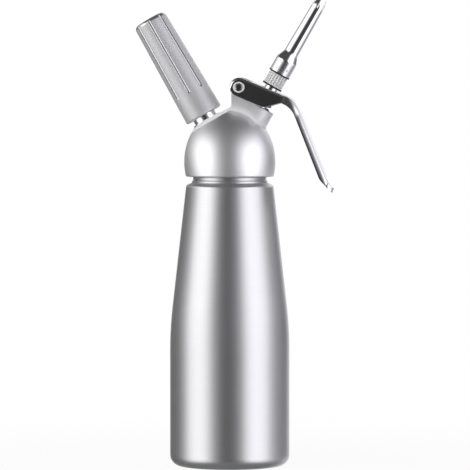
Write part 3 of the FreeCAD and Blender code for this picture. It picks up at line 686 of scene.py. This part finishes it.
# ---- valve spring
def spring_height(turn):
    """The spring wire's height above its lowest turn, its end turns closed."""
    rise = spring_length - 2 * spring_wire
    closed = spring_closed_turns * spring_closed_pitch
    open_pitch = (rise - 2 * closed) / spring_open_turns
    if turn < spring_closed_turns:
        return turn * spring_closed_pitch
    if turn > spring_turns - spring_closed_turns:
        return rise - (spring_turns - turn) * spring_closed_pitch
    return closed + (turn - spring_closed_turns) * open_pitch


def make_valve_spring():
    """The coil in place of the solid spring, at one fixed length."""
    low = spring_seat + spring_wire

    def centre_at(turn):
        return spring_radius, low + spring_height(turn)

    piece = coil("valve_spring_coil", axes_meet, valve_axis, spring_turns, centre_at, spring_wire)
    dress(piece, "head", "spring_steel")
    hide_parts("valve_spring")
    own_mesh(piece)


# ---- the lever, as the solid one but for its handle's rounder section
def stepped(start, end, step):
    """Places from the start to the end, about a step apart."""
    count = max(1, round((end - start) / step))
    return [start + (end - start) * index / count for index in range(count + 1)]


def smooth_share(value, start, end):
    """0 at the start and 1 at the end, smooth between them."""
    share = min(max((value - start) / (end - start), 0.0), 1.0)
    return share * share * (3 - 2 * share)


def lever_axes():
    """The lever's own directions: along its web from the pivot, and up from the web."""
    turn = math.radians(web_slope)
    along = Vector((math.cos(turn), 0.0, -math.sin(turn)))
    return along, Vector((math.sin(turn), 0.0, math.cos(turn)))


def handle_line(reach):
    """The handle's upper line at a reach from the pivot: its height and its slope there."""
    slope = math.radians(handle_slope)
    if reach <= curl_reach:
        return lever_eye_radius - (reach - bend_reach) * math.tan(slope), slope
    corner = lever_eye_radius - (curl_reach - bend_reach) * math.tan(slope)
    curl = math.radians(curl_slope)
    return corner - (reach - curl_reach) * math.tan(curl), curl


def drawn_in(point):
    """How far a point of the handle keeps its distance from the middle, 1 at the flanges' edge."""
    along, up = lever_axes()
    place = point - pivot
    reach, height = place.dot(along), place.dot(up)
    top, slope = handle_line(reach)
    below = (top - height) * math.cos(slope)
    ending = smooth_share(reach, lever_reach - flange_narrowing, lever_reach)
    depth = flange_depth + (flange_end_depth - flange_depth) * ending
    rise = min(max((depth - below) / (depth - crown_side_depth), 0.0), 1.0)
    share = smooth_share(reach, rounding_start, rounding_end)
    return 1.0 - crown_draw * share * rise * rise


def area_normals(mesh):
    """A normal for each corner of each face, the larger faces round the point counting for more."""
    limit = math.cos(math.radians(smooth_angle))
    around = [[] for _ in mesh.vertices]
    for polygon in mesh.polygons:
        for index in polygon.vertices:
            around[index].append(polygon)
    normals = []
    for polygon in mesh.polygons:
        own = polygon.normal.copy()
        for index in polygon.vertices:
            total = Vector((0.0, 0.0, 0.0))
            for other in around[index]:
                if other.normal.dot(own) > limit:
                    total += other.normal * other.area
            normals.append(total.normalized() if total.length > 0 else own)
    return normals


def make_lever_shell():
    """A copy of the solid lever, cut finely along its handle and drawn in towards the crown."""
    along, up = lever_axes()
    work = bmesh.new()
    work.from_mesh(nodes["lever"].data)
    work.transform(nodes["lever"].matrix_world)
    bmesh.ops.remove_doubles(work, verts=work.verts, dist=weld_closeness)
    slope = math.radians(handle_slope)
    square = up * math.cos(slope) + along * math.sin(slope)
    corner = pivot + along * bend_reach + up * lever_eye_radius
    cuts = [(pivot + along * reach, along) for reach in stepped(rounding_start, lever_reach, cut_step)]
    cuts += [(corner - square * depth, square) for depth in stepped(0.0, flange_depth, row_step)]
    for place, facing in cuts:
        geometry = [*work.verts, *work.edges, *work.faces]
        bmesh.ops.bisect_plane(work, geom=geometry, plane_co=place, plane_no=facing, dist=cut_closeness)
    for vertex in work.verts:
        vertex.co.y *= drawn_in(vertex.co)
    mesh = bpy.data.meshes.new("lever_shell")
    work.to_mesh(mesh)
    work.free()
    piece = add_piece("lever_shell", mesh)
    mesh.normals_split_custom_set(area_normals(mesh))
    dress(piece, "lever", "polished_chrome")
    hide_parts("lever")


# ---- stage
def aimed(name, data, place):
    """Puts a camera or a lamp at a place, turned to the aim point."""
    made = bpy.data.objects.new(name, data)
    made.location = place
    made.rotation_euler = (aim_point - place).to_track_quat("-Z", "Y").to_euler()
    scene.collection.objects.link(made)
    return made


def make_camera():
    turn = math.radians(camera_azimuth)
    place = Vector((math.sin(turn), -math.cos(turn), 0.0)) * camera_distance
    place += aim_point
    place.z = camera_height
    camera = aimed("camera", bpy.data.cameras.new("camera"), place)
    camera.data.sensor_width = sensor_width
    camera.data.lens = sensor_width * (aim_point - place).length / view_width
    scene.camera = camera


def studio_band(look, share, stops):
    """The studio's colour all round at one height, by the share of a turn."""
    colours = []
    for azimuth, level in stops:
        tint = right_tint if azimuth > 0 else left_tint
        colours.append((0.5 + azimuth / 360.0, tuple(level * part for part in tint)))
    return look.ramp(share, colours, "EASE")


def make_world():
    """Soft boxes beside the camera, dark behind it, a pale sweep behind the object."""
    world = bpy.data.worlds.new("studio")
    scene.world = world
    look = Tree(world)
    sideways, backward, height = look.parts(look.node("ShaderNodeTexCoord").outputs["Generated"])
    turn = look.math("ARCTAN2", sideways, look.math("MULTIPLY", backward, -1.0))
    rise = look.math("MULTIPLY", height, upward_spread, clamp=True)
    turn = look.math("MULTIPLY", turn, look.math("SUBTRACT", 1.0, rise))
    share = look.math("ADD", look.math("DIVIDE", turn, 2 * math.pi), 0.5)
    colour = studio_band(look, share, studio_stops)
    for start, end, other in (
        (lower_start, lower_end, studio_band(look, share, lower_stops)),
        (upper_start, upper_end, studio_band(look, share, upper_stops)),
        (overhead_start, overhead_end, grey(overhead_level)),
        (underside_start, underside_end, grey(underside_level)),
    ):
        colour = look.mix_colour(look.faded(height, start, end), colour, other)
    studio = look.fed("ShaderNodeBackground", {"Color": colour, "Strength": studio_strength})
    white = look.fed("ShaderNodeBackground", {"Color": grey(1.0), "Strength": 1.0})
    mixed = look.mix_shader(look.seen(), studio, white)
    look.join(mixed, look.node("ShaderNodeOutputWorld"), "Surface")


def make_floor():
    """A white floor that keeps the object's shadow."""
    half = floor_size / 2
    corners = [(-half, -half, 0), (half, -half, 0), (half, half, 0), (-half, half, 0)]
    floor = mesh_piece("floor", corners, [(0, 1, 2, 3)])
    look = Material("floor")
    look.set(Base_Color=grey(floor_level), Roughness=floor_roughness)
    glow = look.fed("ShaderNodeEmission", {"Color": grey(1.0), "Strength": 1.0})
    whitening = look.faded(look.length(look.place), floor_glow_reach, floor_white_reach)
    share = look.all_of(look.seen(), look.between(whitening, start=floor_glow, end=1.0))
    look.join(look.mix_shader(share, look.shader.outputs[0], glow), look.output, "Surface")
    floor.data.materials.append(look.material)
    floor.visible_glossy = False


def make_lamp():
    """A large soft lamp overhead, which gives the floor its shadow."""
    lamp = bpy.data.lights.new("overhead", "AREA")
    lamp.shape = "DISK"
    lamp.size = lamp_size
    lamp.energy = lamp_energy
    aimed("overhead", lamp, lamp_place).visible_glossy = False


# ---- the dressed part on its stage
scene.view_settings.view_transform = "Standard"
materials = make_materials()
slots = {row["node"]: row["material_slot"] for row in frame["record"]["subparts"]}
for name, node in nodes.items():
    node.data.materials.clear()
    node.data.materials.append(materials[slots[name]])
make_valve_spring()
make_lever_shell()
make_threads()
make_camera()
make_world()
make_floor()
make_lamp()
